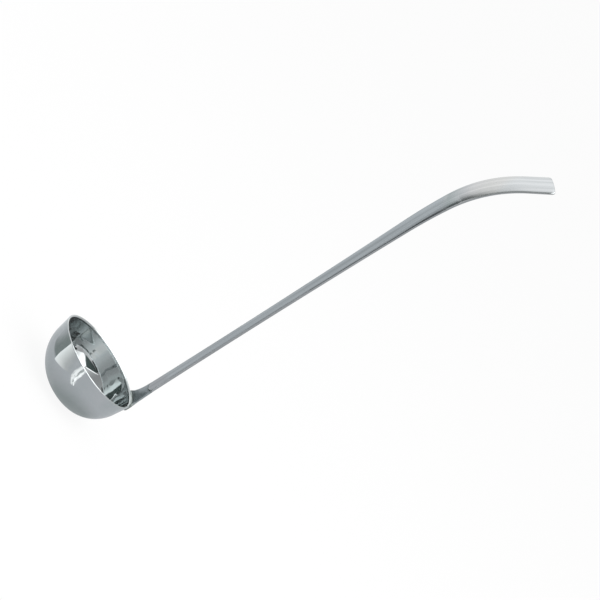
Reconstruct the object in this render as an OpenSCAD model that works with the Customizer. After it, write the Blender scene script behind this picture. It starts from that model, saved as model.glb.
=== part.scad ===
// Long-handled ladle: a deep drawn bowl, a flared neck plate that stands on its
// wall, a weld seam in the corner between the two, and a long flat handle that
// widens and bends outwards at its end. Units are millimetres, Z is the axis of
// the bowl, and the handle stands at +X. The origin is the centre of the small
// flat at the bottom of the bowl.

/* [View] */
// Piece to show, or all of them

/* [Bowl] */
// Outside diameter of the bowl at its rim
rim_diameter = 80; // [72:1:88]
// Height of the bowl from its flat base to the crest of the rim
bowl_height = 39.5; // [37:0.5:46]
// Diameter of the small flat at the bottom of the bowl
base_flat_diameter = 13; // [9:1:20]
// Thickness of the bowl's sheet, which is also the rim's round edge
bowl_wall = 1; // [0.8:0.1:1.4]

/* [Neck] */
// Thickness of the neck plate
neck_thickness = 2; // [1.6:0.1:2.6]
// Width of the neck plate at the rim of the bowl
neck_foot_width = 21.5; // [18:0.5:26]
// How far the foot of the neck reaches down the outside of the bowl
foot_reach = 7; // [5.5:0.5:9]
// Corner radius at the lower end of the foot
foot_corner_radius = 4; // [2:0.5:5]
// Height of the joint's lowest point above the middle of the rim
neck_height = 16; // [12:1:24]
// Radius of the curved joint between the neck and the handle
joint_radius = 10; // [8:0.5:14]
// How far the inner face of the neck stands inside the line of the bowl's wall
neck_inset = 0.2; // [0.15:0.05:0.4]

/* [Weld] */
// Radius of the weld seam's bead
weld_radius = 0.7; // [0.5:0.1:0.9]
// Height of the bead's centre above the crest of the rim
weld_rise = 0.25; // [0.15:0.05:0.4]
// How much of the neck's width the seam leaves free at each end
weld_end_margin = 0.6; // [0.3:0.1:2]

/* [Handle] */
// Thickness of the handle's strip
handle_thickness = 2; // [1.6:0.1:2.6]
// Inward lean of the straight part of the handle from the axis of the bowl
handle_lean = 1.2; // [0:0.1:2]
// Length of the straight part above the joint
straight_length = 231; // [180:1:260]
// Radius of the first, gentle part of the bend, on the face towards the bowl
gentle_bend_radius = 394; // [300:2:500]
// Turn of the first, gentle part of the bend
gentle_bend_angle = 5.2; // [3:0.1:8]
// Radius of the main bend, on the face towards the bowl
main_bend_radius = 98; // [80:1:130]
// Turn of the main bend
main_bend_angle = 34.3; // [20:0.5:45]
// Length of the straight end past the main bend
end_length = 20.4; // [12:0.4:30]
// Width of the handle at its narrowest place
waist_width = 11.3; // [10:0.1:13]
// Height of the narrowest place above the middle of the rim
waist_height = 81; // [60:1:110]
// Radius of the hollow sides that widen the handle above the waist
side_radius = 4160; // [3600:20:5200]
// Height above the middle of the rim at which the sides turn to a round swell
swell_height = 288; // [270:1:300]
// Radius of the swelling sides at the end of the handle
swell_radius = 1560; // [1200:20:2400]
// Radius of the curved end edge
end_edge_radius = 130; // [60:5:200]
// Radius of the two corners of the end
end_corner_radius = 2.5; // [1:0.25:5]

/* [Hidden] */
// Segments of the turned and rounded forms
round_facets = 96;
// Steps along each long side of the handle
side_steps = 32;
// Steps along each hollow side of the neck
flare_steps = 10;
// Steps round each corner of the neck's foot
corner_steps = 6;
// Steps along the gentle part of the bend
gentle_steps = 4;
// Steps along the main bend
main_steps = 24;
rim_radius = rim_diameter / 2;
base_flat_radius = base_flat_diameter / 2;
wall_corner_radius = rim_radius - base_flat_radius;
rim_edge_radius = bowl_wall / 2;
rim_plane = bowl_height - rim_edge_radius;
wall_corner_height = wall_corner_radius;
inner_corner_radius = wall_corner_radius - bowl_wall;
joint_plane = rim_plane + neck_height;
side_centre = waist_width / 2 + side_radius;
swell_angle = asin((swell_height - waist_height) / side_radius);
swell_centre_offset = side_centre - (side_radius + swell_radius) * cos(swell_angle);
swell_centre_height = swell_height + swell_radius * sin(swell_angle);
joint_half_width = handle_half_width(neck_height);
joint_edge_rise = joint_radius
  - sqrt(joint_radius * joint_radius - joint_half_width * joint_half_width);
neck_top = joint_plane + joint_edge_rise;
neck_side_height = neck_top - rim_plane;
// How far above its top the neck's hollow sides would stand straight
neck_side_run = 1.5;
neck_side_rise = neck_side_height + neck_side_run;
neck_side_gain = neck_foot_width / 2 - joint_half_width;
neck_side_radius = (neck_side_rise * neck_side_rise + neck_side_gain * neck_side_gain)
  / (2 * neck_side_gain);
neck_inner_radius = rim_radius;
// Half of the turn about the bowl that the neck's plate has before it is cut
neck_plate_half_turn = 40;
neck_face = rim_radius - neck_inset;
handle_start = neck_face - tan(handle_lean) * neck_height;
gentle_start = [
  handle_start - straight_length * sin(handle_lean),
  joint_plane + straight_length * cos(handle_lean)
];
gentle_centre = gentle_start + gentle_bend_radius * across(-handle_lean);
main_start_turn = gentle_bend_angle - handle_lean;
main_start = gentle_centre - gentle_bend_radius * across(main_start_turn);
main_centre = main_start + main_bend_radius * across(main_start_turn);
end_turn = main_start_turn + main_bend_angle;
tip = main_centre - main_bend_radius * across(end_turn) + end_length * along(end_turn);
tip_x = tip[0];
tip_z = tip[1];
tip_height = tip_z - rim_plane;
end_half_width = handle_half_width(tip_height);
// How far the joint's overlap reaches below its lowest point before it is trimmed
trim_allowance = joint_radius / 2;
// Half of the widest span that any outline needs
outline_half_span = neck_foot_width;
// Share of its radius by which the bead's centre stands off the face of the neck
bead_standoff_share = 0.35;
weld_centre_radius = neck_face - weld_radius * bead_standoff_share;
weld_centre_height = bowl_height + weld_rise;
weld_half_angle = asin((neck_foot_width / 2 - weld_end_margin) / rim_radius);
polished_steel = [0.74, 0.76, 0.76];
neck_steel = [0.62, 0.65, 0.65];
weld_steel = [0.80, 0.81, 0.82];

// Direction along the strip, and the one across its thickness away from the bowl, at
// a turn from the vertical, in the plane of the bend
function along(turn) = [sin(turn), cos(turn)];
function across(turn) = [cos(turn), -sin(turn)];

// Half of the handle's width at a height above the middle of the rim: hollow sides
// up to the swell, and a round swell from there to the end
function handle_half_width(height) =
  height < swell_height
    ? side_centre - sqrt(side_radius * side_radius - pow(height - waist_height, 2))
    : swell_centre_offset + sqrt(swell_radius * swell_radius - pow(height - swell_centre_height, 2));

// Half of the neck's width at a height above the middle of the rim
function neck_half_width(height) =
  joint_half_width + neck_side_radius
    - sqrt(neck_side_radius * neck_side_radius - pow(neck_side_rise - height, 2));

// Closed outline from the points of its right side, listed upwards
function mirrored_outline(right_side) =
  let (last = len(right_side) - 1)
    concat(right_side, [for (k = [0 : last]) [-right_side[last - k][0], right_side[last - k][1]]]);

// Outer half section of the bowl as a filled shape, up to a given height
module bowl_body_section(top) {
  union() {
    square([base_flat_radius, top]);
    intersection() {
      translate([base_flat_radius, wall_corner_height])
        circle(r = wall_corner_radius, $fn = round_facets);
      square([rim_radius, wall_corner_height]);
    }
    translate([0, wall_corner_height])
      square([rim_radius, top - wall_corner_height]);
  }
}

// Inner half section of the bowl, the space that it holds
module bowl_space_section() {
  union() {
    translate([0, bowl_wall])
      square([base_flat_radius, bowl_height]);
    intersection() {
      translate([base_flat_radius, wall_corner_height])
        circle(r = inner_corner_radius, $fn = round_facets);
      square([rim_radius, wall_corner_height]);
    }
    translate([0, wall_corner_height])
      square([rim_radius - bowl_wall, bowl_height]);
  }
}

// Deep drawn bowl with one wall thickness and a full round rim
module bowl() {
  color(polished_steel)
    rotate_extrude($fn = round_facets)
      union() {
        difference() {
          bowl_body_section(rim_plane);
          bowl_space_section();
        }
        intersection() {
          translate([rim_radius - rim_edge_radius, rim_plane])
            circle(r = rim_edge_radius, $fn = round_facets);
          translate([0, rim_plane])
            square([rim_radius, rim_edge_radius]);
        }
      }
}

// Front outline of the neck plate: a rounded foot below the rim and hollow sides above
module neck_outline() {
  corner_side = neck_foot_width / 2 - foot_corner_radius;
  corner_height = rim_plane - foot_reach + foot_corner_radius;
  polygon(mirrored_outline(concat(
    [
      for (step = [0 : corner_steps])
        let (turn = 90 * step / corner_steps)
          [corner_side, corner_height] + foot_corner_radius * across(90 - turn)
    ],
    [
      for (step = [0 : flare_steps])
        let (height = neck_side_height * step / flare_steps)
          [neck_half_width(height), rim_plane + height]
    ]
  )));
}

// Curved plate of the neck before its outline is cut: a piece of a tube round the
// bowl, leaning with the handle
module neck_plate() {
  translate([neck_face, 0, rim_plane])
    rotate([0, -handle_lean, 0])
      translate([-neck_inner_radius, 0, -2 * foot_reach])
        rotate([0, 0, -neck_plate_half_turn])
          rotate_extrude(angle = 2 * neck_plate_half_turn, $fn = round_facets)
            translate([neck_inner_radius, 0])
              square([neck_thickness, 2 * foot_reach + 2 * neck_side_height]);
}

// Neck: the curved plate cut to its outline and seated on the wall of the bowl
module neck() {
  color(neck_steel)
    difference() {
      intersection() {
        neck_plate();
        translate([rim_radius / 2, 0, 0])
          rotate([90, 0, 90])
            linear_extrude(height = rim_radius)
              neck_outline();
      }
      translate([0, 0, joint_plane + joint_radius])
        rotate([0, 90, 0])
          cylinder(h = 2 * rim_radius, r = joint_radius, $fn = round_facets);
      rotate_extrude($fn = round_facets)
        bowl_body_section(bowl_height);
    }
}

// Weld seam in the corner between the rim and the inner face of the neck
module weld_seam() {
  color(weld_steel)
    difference() {
      rotate([0, 0, -weld_half_angle])
        rotate_extrude(angle = 2 * weld_half_angle, $fn = round_facets)
          translate([weld_centre_radius, weld_centre_height])
            circle(r = weld_radius, $fn = round_facets);
      rotate_extrude($fn = round_facets)
        union() {
          bowl_body_section(rim_plane);
          translate([0, rim_plane])
            square([rim_radius - rim_edge_radius, rim_edge_radius]);
          translate([rim_radius - rim_edge_radius, rim_plane])
            circle(r = rim_edge_radius, $fn = round_facets);
        }
      neck_plate();
    }
}

// Side profile of the handle's strip, from below the joint to the end. Each station is
// a point of the face towards the bowl and the strip's turn there.
module handle_side() {
  stations = concat(
    [[[handle_start, joint_plane] - trim_allowance * along(-handle_lean), -handle_lean]],
    [
      for (step = [0 : gentle_steps])
        let (turn = gentle_bend_angle * step / gentle_steps - handle_lean)
          [gentle_centre - gentle_bend_radius * across(turn), turn]
    ],
    [
      for (step = [1 : main_steps])
        let (turn = main_start_turn + main_bend_angle * step / main_steps)
          [main_centre - main_bend_radius * across(turn), turn]
    ],
    [[tip, end_turn]]
  );
  last = len(stations) - 1;
  polygon(concat(
    [for (station = stations) station[0]],
    [for (k = [0 : last]) stations[last - k][0] + handle_thickness * across(stations[last - k][1])]
  ));
}

// Front outline of the handle: a round lower end, hollow sides and a swelling end
module handle_outline() {
  rise = (tip_height + handle_thickness - neck_height) / side_steps;
  intersection() {
    polygon(mirrored_outline([
      for (step = [0 : side_steps])
        let (height = neck_height + rise * step)
          [handle_half_width(height), rim_plane + height]
    ]));
    union() {
      translate([0, joint_plane + joint_radius])
        circle(r = joint_radius, $fn = round_facets);
      translate([-outline_half_span, joint_plane + joint_radius])
        square([2 * outline_half_span, tip_height]);
    }
  }
}

// Outline of the last stretch of the handle, seen square to its face: a curved end
// edge that runs into two round corners. The end edge's middle is at the origin.
module end_outline() {
  corner_centre = end_half_width - end_corner_radius;
  corner_drop = end_edge_radius - sqrt((end_edge_radius - end_corner_radius)
    * (end_edge_radius - end_corner_radius) - corner_centre * corner_centre);
  union() {
    intersection() {
      translate([0, -end_edge_radius])
        circle(r = end_edge_radius, $fn = round_facets);
      translate([-corner_centre, -end_length])
        square([2 * corner_centre, 2 * end_length]);
    }
    translate([-end_half_width, -end_length])
      square([2 * end_half_width, end_length - corner_drop]);
    translate([corner_centre, -corner_drop])
      circle(r = end_corner_radius, $fn = round_facets);
    translate([-corner_centre, -corner_drop])
      circle(r = end_corner_radius, $fn = round_facets);
  }
}

// What is cut away round the end of the handle
module end_trim() {
  translate([tip_x, 0, tip_z])
    rotate([0, end_turn, 0])
      translate([-handle_thickness, 0, 0])
        rotate([90, 0, 90])
          linear_extrude(height = 3 * handle_thickness)
            difference() {
              translate([-outline_half_span, -end_length / 2])
                square([2 * outline_half_span, end_length]);
              end_outline();
            }
}

// Handle: one flat strip, bent along its length and cut to its outline
module handle() {
  color(polished_steel)
    difference() {
      intersection() {
        translate([0, outline_half_span, 0])
          rotate([90, 0, 0])
            linear_extrude(height = 2 * outline_half_span)
              handle_side();
        rotate([90, 0, 90])
          linear_extrude(height = tip_x + rim_radius)
            handle_outline();
      }
      end_trim();
    }
}

bowl();
neck();
weld_seam();
handle();
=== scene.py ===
import math

import bpy
from mathutils import Matrix, Vector


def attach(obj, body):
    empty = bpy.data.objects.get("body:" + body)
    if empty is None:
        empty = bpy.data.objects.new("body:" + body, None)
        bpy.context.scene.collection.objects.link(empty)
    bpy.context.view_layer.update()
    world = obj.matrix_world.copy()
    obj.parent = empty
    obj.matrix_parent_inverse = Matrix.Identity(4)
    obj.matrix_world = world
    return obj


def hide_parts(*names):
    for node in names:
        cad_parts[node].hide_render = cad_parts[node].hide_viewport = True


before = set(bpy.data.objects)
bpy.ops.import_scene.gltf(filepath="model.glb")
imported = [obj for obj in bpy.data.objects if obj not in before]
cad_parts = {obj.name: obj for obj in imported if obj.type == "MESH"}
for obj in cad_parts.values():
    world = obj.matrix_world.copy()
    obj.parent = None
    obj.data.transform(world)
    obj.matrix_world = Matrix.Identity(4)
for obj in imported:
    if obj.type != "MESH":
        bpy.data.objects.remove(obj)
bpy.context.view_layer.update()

MM = 0.001
METRE = 1.0

# Sizes of the real ladle in millimetres, as the part's source has them
RIM_RADIUS = 40.0
BOWL_WALL = 1.0
BASE_FLAT_RADIUS = 6.5
CREST_HEIGHT = 39.5
RIM_PLANE = CREST_HEIGHT - BOWL_WALL / 2
STRIP_THICKNESS = 2.0
LEAN = math.radians(1.2)
NECK_FOOT_HALF_WIDTH = 10.75
NECK_FOOT_REACH = 7.0
NECK_FOOT_CORNER = 4.0
NECK_HEIGHT = 16.0
NECK_INSET = 0.2
NECK_SIDE_RUN = 1.5
JOINT_RADIUS = 10.0
STRAIGHT_LENGTH = 231.0
GENTLE_RADIUS = 394.0
GENTLE_TURN = math.radians(5.2)
MAIN_RADIUS = 98.0
MAIN_TURN = math.radians(34.3)
END_LENGTH = 20.4
WAIST_HALF_WIDTH = 5.65
WAIST_HEIGHT = 81.0
SIDE_RADIUS = 4160.0
SWELL_HEIGHT = 288.0
SWELL_RADIUS = 1560.0
END_EDGE_RADIUS = 130.0
END_CORNER_RADIUS = 2.5
WELD_CENTRE_RADIUS = 39.555
WELD_CENTRE_HEIGHT = 39.75
WELD_HALF_ANGLE = math.radians(14.7)

# How the bowl's wall opens towards its rim, and how far its body leans to the handle per millimetre down
WALL_FLARE = math.radians(8.5)
BODY_SLANT_SHARE = 0.075
# The lip at the bowl's edge, and how far below it the wall begins inside and outside
LIP_OUTER_RADIUS = 0.55
LIP_INNER_REACH = 1.15
LIP_INNER_DROP = 1.2
LIP_UNDERCUT = 0.8
LIP_RUN_IN = 0.3
# How much of the weld shows, and how far the plates' edges are rounded
WELD_SHOWING_RADIUS = 0.4
HANDLE_EDGE = 0.55
NECK_EDGE = 0.55
JOINT_EDGE = 0.06
# How far the handle's front falls towards its sides, as a share of its half width, how much of that its
# back does, and how far the neck's front falls at the joint's sides before the crown eases
CROWN_SHARE = 0.04
BACK_CROWN_SHARE = 0.2
NECK_CROWN = 0.42

WHITE = "#FFFFFF"
# The colour of the shade painted along the line where the neck meets the handle
JOINT_SHADE_COLOUR = "#737B7A"

# The sockets of the node that mixes two colours
FIRST_COLOUR = 6
SECOND_COLOUR = 7
MIXED_COLOUR = 2


def linear_colour(code):
    """An sRGB hex colour as the four linear values that a shader takes."""
    values = []
    for start in (1, 3, 5):
        level = int(code[start:start + 2], 16) / 255
        if level <= 0.04045:
            values.append(level / 12.92)
        else:
            values.append(((level + 0.055) / 1.055) ** 2.4)
    return (*values, 1.0)


def add_node(tree, kind, settings=None, links=None, stops=()):
    """One shader node: settings are its own values or its sockets' values, links its inputs' sources,
    and stops the places and colours of a ramp."""
    node = tree.nodes.new(kind)
    for name, value in (settings or {}).items():
        if hasattr(node, str(name)):
            setattr(node, name, value)
        else:
            node.inputs[name].default_value = value
    for name, source in (links or {}).items():
        tree.links.new(source, node.inputs[name])
    for index, (place, colour) in enumerate(stops):
        if index == len(node.color_ramp.elements):
            node.color_ramp.elements.new(place)
        node.color_ramp.elements[index].position = place
        node.color_ramp.elements[index].color = colour
    return node


def new_material(name):
    """An empty node material and its tree."""
    material = bpy.data.materials.new(name)
    material.use_nodes = True
    material.node_tree.nodes.clear()
    return material, material.node_tree


def add_object(name, content):
    """A new object in the scene."""
    thing = bpy.data.objects.new(name, content)
    bpy.context.scene.collection.objects.link(thing)
    return thing


def mesh_object(name, points, faces, material, unit=MM):
    """A smooth mesh object from points in millimetres, or in another unit."""
    mesh = bpy.data.meshes.new(name)
    mesh.from_pydata([Vector(point) * unit for point in points], [], faces)
    mesh.validate()
    mesh.materials.append(material)
    mesh.polygons.foreach_set("use_smooth", [True] * len(mesh.polygons))
    return add_object(name, mesh)


bpy.context.scene.view_settings.view_transform = "Standard"

# The camera of the photograph, worked out from the rim's ellipse and the handle's edges
SENSOR_WIDTH = 36
LENS_LENGTH = 180
CAMERA_REACH = 50
CAMERA_PLACE = (-0.9105634, -1.9048252, 0.7222875)
CAMERA_RIGHT = (0.5564979, -0.0461489, 0.8295664)
CAMERA_UP = (-0.7085029, 0.4951613, 0.5028308)


def place_camera():
    """Makes the camera at its place, with its right and up directions square to each other."""
    lens = bpy.data.cameras.new("photo_camera")
    lens.sensor_width = SENSOR_WIDTH
    lens.lens = LENS_LENGTH
    lens.clip_end = CAMERA_REACH
    camera = add_object("photo_camera", lens)
    right = Vector(CAMERA_RIGHT).normalized()
    up = Vector(CAMERA_UP)
    up = (up - right * up.dot(right)).normalized()
    turn = Matrix((right, up, right.cross(up))).transposed().to_4x4()
    camera.matrix_world = Matrix.Translation(CAMERA_PLACE) @ turn
    bpy.context.scene.camera = camera


place_camera()


# The finishes. Object coordinates are in metres, and the pattern sizes below are in millimetres
def millimetres(tree):
    """The place on the piece in millimetres, whole and as its three parts."""
    spot = add_node(tree, "ShaderNodeTexCoord")
    place = add_node(tree, "ShaderNodeVectorMath", {"operation": "SCALE", "Scale": 1 / MM},
                     {0: spot.outputs["Object"]})
    parts = add_node(tree, "ShaderNodeSeparateXYZ", None, {0: place.outputs["Vector"]})
    return place.outputs["Vector"], parts.outputs["X"], parts.outputs["Y"], parts.outputs["Z"]


def streaks(tree, place, sizes, detail, roughness=0.5, turn=(0.0, 0.0, 0.0)):
    """Noise drawn out to streaks, by their sizes in millimetres along the axes, and turned."""
    drawn_out = add_node(tree, "ShaderNodeMapping", {
        "Rotation": turn, "Scale": [1 / size for size in sizes]}, {"Vector": place})
    noise = add_node(tree, "ShaderNodeTexNoise", {
        "Scale": 1.0, "Detail": detail, "Roughness": roughness}, {"Vector": drawn_out.outputs[0]})
    return noise.outputs["Fac"]


def joint_shadow(tree, side, height):
    """Where shade is painted along the joint: 1 on the line where the neck and the handle meet, 0 from a
    little over half a millimetre away.
    """
    line_half_width, fade_end = 0.15, 0.6
    square = add_node(tree, "ShaderNodeMath", {"operation": "MULTIPLY"}, {0: side, 1: side})
    rise = add_node(tree, "ShaderNodeMath", {
        "operation": "MULTIPLY_ADD", 1: 1 / (2 * JOINT_RADIUS), 2: RIM_PLANE + NECK_HEIGHT,
    }, {0: square.outputs[0]})
    away = add_node(tree, "ShaderNodeMath", {"operation": "SUBTRACT"}, {0: height, 1: rise.outputs[0]})
    size = add_node(tree, "ShaderNodeMath", {"operation": "ABSOLUTE"}, {0: away.outputs[0]})
    shade = add_node(tree, "ShaderNodeMapRange", {
        "interpolation_type": "SMOOTHSTEP", "From Min": line_half_width, "From Max": fade_end,
        "To Min": 1.0, "To Max": 0.0,
    }, {"Value": size.outputs[0]})
    return shade.outputs["Result"]


def mirror_polished_bowl():
    """Deep-drawn 18/10 stainless sheet, mirror polished on a soft wheel while the bowl turned: a clear
    reflection with a slight wobble, faint rings from the wheel, and a bluish haze in places."""
    material, tree = new_material("deep_drawn_stainless_mirror_polished")
    place, x, y, z = millimetres(tree)
    flat = add_node(tree, "ShaderNodeCombineXYZ", None, {"X": x, "Y": y})
    radius = add_node(tree, "ShaderNodeVectorMath", {"operation": "LENGTH"}, {0: flat.outputs[0]})
    # Wheel rings are about 0.2 mm apart, too fine to show, so they are drawn 1.2 mm apart
    ring_spacing, ring_depth = 1.2, 0.002
    rings_place = add_node(tree, "ShaderNodeCombineXYZ", None, {"X": radius.outputs["Value"], "Y": z})
    rings = add_node(tree, "ShaderNodeTexNoise", {
        "Scale": 1 / ring_spacing, "Detail": 3.0, "Roughness": 0.6}, {"Vector": rings_place.outputs[0]})
    # The press leaves waves some 14 mm long in the sheet, and the buffing a haze in patches of 25 mm
    wave_length, wave_depth, haze_size = 14.0, 0.04, 25.0
    waves = add_node(tree, "ShaderNodeTexNoise", {"Scale": 1 / wave_length, "Detail": 1.0},
                     {"Vector": place})
    haze = add_node(tree, "ShaderNodeTexNoise", {
        "Scale": 1 / haze_size, "Detail": 4.0, "Roughness": 0.6}, {"Vector": place})
    # Hairlines from washing and stirring, as long as 8 mm and drawn 0.5 mm wide to show
    hair_length, hair_width = 8.0, 0.5
    hairs = streaks(tree, place, (hair_length, hair_width, hair_width), 2.0, turn=(0.6, 0.3, 0.9))
    hairlines = add_node(tree, "ShaderNodeMapRange", {
        "From Min": 0.66, "From Max": 0.72, "To Min": 0.0, "To Max": 1.0}, {"Value": hairs})
    tint = add_node(tree, "ShaderNodeValToRGB", None, {"Fac": haze.outputs["Fac"]},
                    [(0.35, linear_colour("#C0C7C7")), (0.65, linear_colour("#C9CDCE"))])
    # The polish is clear, and the haze, the hairlines and the rings blur it a little
    clear, hazed, hair_blur, ring_blur = 0.01, 0.045, 0.08, 0.02
    clouded = add_node(tree, "ShaderNodeMapRange", {
        "From Min": 0.3, "From Max": 0.75, "To Min": clear, "To Max": hazed}, {"Value": haze.outputs["Fac"]})
    scratched = add_node(tree, "ShaderNodeMath", {"operation": "MULTIPLY_ADD", 1: hair_blur},
                         {0: hairlines.outputs["Result"], 2: clouded.outputs["Result"]})
    ringed = add_node(tree, "ShaderNodeMath", {"operation": "MULTIPLY_ADD", 1: ring_blur},
                      {0: rings.outputs["Fac"], 2: scratched.outputs[0]})
    wavy = add_node(tree, "ShaderNodeBump", {"Strength": 1.0, "Distance": wave_depth * MM},
                    {"Height": waves.outputs["Fac"]})
    turned = add_node(tree, "ShaderNodeBump", {"Strength": 0.5, "Distance": ring_depth * MM},
                      {"Height": rings.outputs["Fac"], "Normal": wavy.outputs["Normal"]})
    steel = add_node(tree, "ShaderNodeBsdfPrincipled", {"Metallic": 0.95}, {
        "Base Color": tint.outputs["Color"], "Roughness": ringed.outputs[0],
        "Normal": turned.outputs["Normal"]})
    add_node(tree, "ShaderNodeOutputMaterial", None, {"Surface": steel.outputs["BSDF"]})
    return material


def ground_neck():
    """Pressed 18/10 stainless plate, ground along its length and buffed by hand: duller than the bowl,
    with a darker, greener grey close above the rim, and an unpolished line at the joint that painted shade
    darkens."""
    material, tree = new_material("pressed_stainless_ground_and_buffed")
    place, _, y, z = millimetres(tree)
    # Grinding lines are 0.1 mm apart and are drawn 0.5 mm apart to show, each about 14 mm long
    line_spacing, line_length, line_depth = 0.5, 14.0, 0.008
    lines = streaks(tree, place, (line_spacing, line_spacing, line_length), 3.0)
    # Buffing clouds of 5 mm, which also bring the edge of the darker tone near the rim down by up to 3 mm
    cloud_size, rim_tone_drift = 5.0, 3.0
    cloud = add_node(tree, "ShaderNodeTexNoise", {"Scale": 1 / cloud_size, "Detail": 4.0}, {"Vector": place})
    rim_tone_height = add_node(tree, "ShaderNodeMath", {"operation": "MULTIPLY_ADD", 1: rim_tone_drift},
                           {0: cloud.outputs["Fac"], 2: z})
    # Apart from that, the darker, greener grey is strongest up to 2 mm above the rim's plane and gone from 5
    # mm on
    rim_tone_full, rim_tone_gone, rim_tone_share = RIM_PLANE + 2.0, RIM_PLANE + 5.0, 0.8
    rim_tone = add_node(tree, "ShaderNodeMapRange", {
        "From Min": rim_tone_full, "From Max": rim_tone_gone, "To Min": rim_tone_share, "To Max": 0.0,
    }, {"Value": rim_tone_height.outputs[0]})
    clean = add_node(tree, "ShaderNodeValToRGB", None, {"Fac": cloud.outputs["Fac"]},
                     [(0.3, linear_colour("#9BA5A7")), (0.7, linear_colour("#B4BBBE"))])
    rim_toned = add_node(tree, "ShaderNodeMix", {"data_type": "RGBA", SECOND_COLOUR: linear_colour("#8F9690")},
                      {0: rim_tone.outputs["Result"], FIRST_COLOUR: clean.outputs["Color"]})
    # Shade is painted in a darker colour along the line where the neck meets the handle
    shade = joint_shadow(tree, y, z)
    shaded = add_node(tree, "ShaderNodeMix", {
        "data_type": "RGBA", SECOND_COLOUR: linear_colour(JOINT_SHADE_COLOUR),
    }, {0: shade, FIRST_COLOUR: rim_toned.outputs[MIXED_COLOUR]})
    smoothest, roughest, joint_blur = 0.26, 0.38, 0.25
    dull = add_node(tree, "ShaderNodeMapRange", {
        "From Min": 0.3, "From Max": 0.7, "To Min": smoothest, "To Max": roughest,
    }, {"Value": lines})
    duller = add_node(tree, "ShaderNodeMath", {"operation": "MULTIPLY_ADD", 1: joint_blur},
                      {0: shade, 2: dull.outputs["Result"]})
    ground = add_node(tree, "ShaderNodeBump", {"Strength": 0.6, "Distance": line_depth * MM},
                      {"Height": lines})
    steel = add_node(tree, "ShaderNodeBsdfPrincipled", {"Metallic": 1.0}, {
        "Base Color": shaded.outputs[MIXED_COLOUR], "Roughness": duller.outputs[0],
        "Normal": ground.outputs["Normal"]})
    add_node(tree, "ShaderNodeOutputMaterial", None, {"Surface": steel.outputs["BSDF"]})
    return material


def brushed_weld():
    """The seam's stainless bead, ground flush at its ends and brushed: bright, slightly uneven, with a
    trace of dull colour from the heat."""
    material, tree = new_material("weld_bead_ground_and_brushed")
    place = millimetres(tree)[0]
    # The bead froze in ripples, and pits of about 0.4 mm are left between them
    pit_size, pit_depth, cloud_size = 0.4, 0.02, 2.5
    pits = add_node(tree, "ShaderNodeTexNoise", {"Scale": 1 / pit_size, "Detail": 2.0}, {"Vector": place})
    cloud = add_node(tree, "ShaderNodeTexNoise", {"Scale": 1 / cloud_size, "Detail": 3.0}, {"Vector": place})
    tint = add_node(tree, "ShaderNodeValToRGB", None, {"Fac": cloud.outputs["Fac"]},
                    [(0.35, linear_colour("#BEC7C3")), (0.6, linear_colour("#C9D0CE"))])
    smoothest, roughest = 0.14, 0.3
    dull = add_node(tree, "ShaderNodeMapRange", {
        "From Min": 0.3, "From Max": 0.7, "To Min": smoothest, "To Max": roughest,
    }, {"Value": pits.outputs["Fac"]})
    pitted = add_node(tree, "ShaderNodeBump", {"Strength": 0.5, "Distance": pit_depth * MM},
                      {"Height": pits.outputs["Fac"]})
    steel = add_node(tree, "ShaderNodeBsdfPrincipled", {"Metallic": 1.0}, {
        "Base Color": tint.outputs["Color"], "Roughness": dull.outputs["Result"],
        "Normal": pitted.outputs["Normal"]})
    add_node(tree, "ShaderNodeOutputMaterial", None, {"Surface": steel.outputs["BSDF"]})
    return material


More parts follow.
